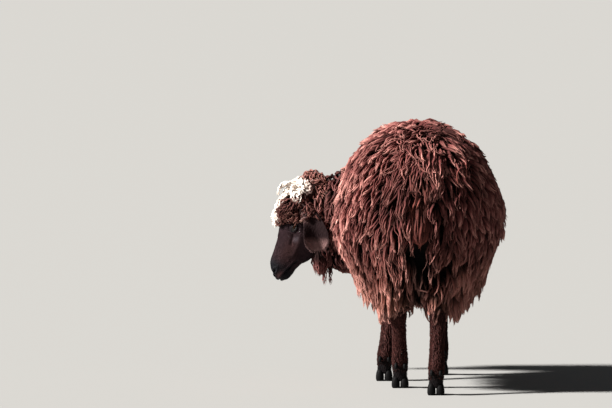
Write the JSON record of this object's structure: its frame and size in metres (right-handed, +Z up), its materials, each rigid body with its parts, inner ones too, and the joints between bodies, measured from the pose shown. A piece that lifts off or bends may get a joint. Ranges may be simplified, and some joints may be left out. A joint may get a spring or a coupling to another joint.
{
  "type": "sheep",
  "caption": "Life-size still sheep of a long-woolled, lop-eared kind, standing in mid-step with its head low and turned to its left.",
  "frame": {"origin": "on the floor, at the middle of the bounding box", "axes": "+Z up, +Y the way the trunk faces, -X the sheep's left"},
  "size_m": [0.6612, 0.976, 0.7557],
  "materials": {
    "fleece": "long ropy reddish-brown wool, matt, darker between its locks and paler at its tips",
    "topknot": "cream curled wool, matt",
    "face": "smooth short black-brown hair with a slight sheen",
    "leg_wool": "short tight crimped dark brown wool",
    "hoof": "dark worn horn",
    "eye": "wet dark amber with a level black pupil"
  },
  "bodies": {
    "root": {"trunk": "fleece", "tail": "fleece", "neck": "fleece", "throat_lock_front": "fleece", "throat_lock_middle": "fleece", "throat_lock_rear": "fleece", "head": "face", "lower_jaw": "face", "ear_left": "face", "ear_right": "face", "topknot": "topknot", "eye_left": "eye", "eye_right": "eye", "leg_hind_right": "leg_wool", "leg_hind_left": "leg_wool", "leg_front_left": "leg_wool", "leg_front_right": "leg_wool", "claw_hind_right_left": "hoof", "dewclaw_hind_right_left": "hoof", "claw_hind_right_right": "hoof", "dewclaw_hind_right_right": "hoof", "claw_hind_left_left": "hoof", "dewclaw_hind_left_left": "hoof", "claw_hind_left_right": "hoof", "dewclaw_hind_left_right": "hoof", "claw_front_left_left": "hoof", "dewclaw_front_left_left": "hoof", "claw_front_left_right": "hoof", "dewclaw_front_left_right": "hoof", "claw_front_right_left": "hoof", "dewclaw_front_right_left": "hoof", "claw_front_right_right": "hoof", "dewclaw_front_right_right": "hoof"}
  },
  "joints": []
}
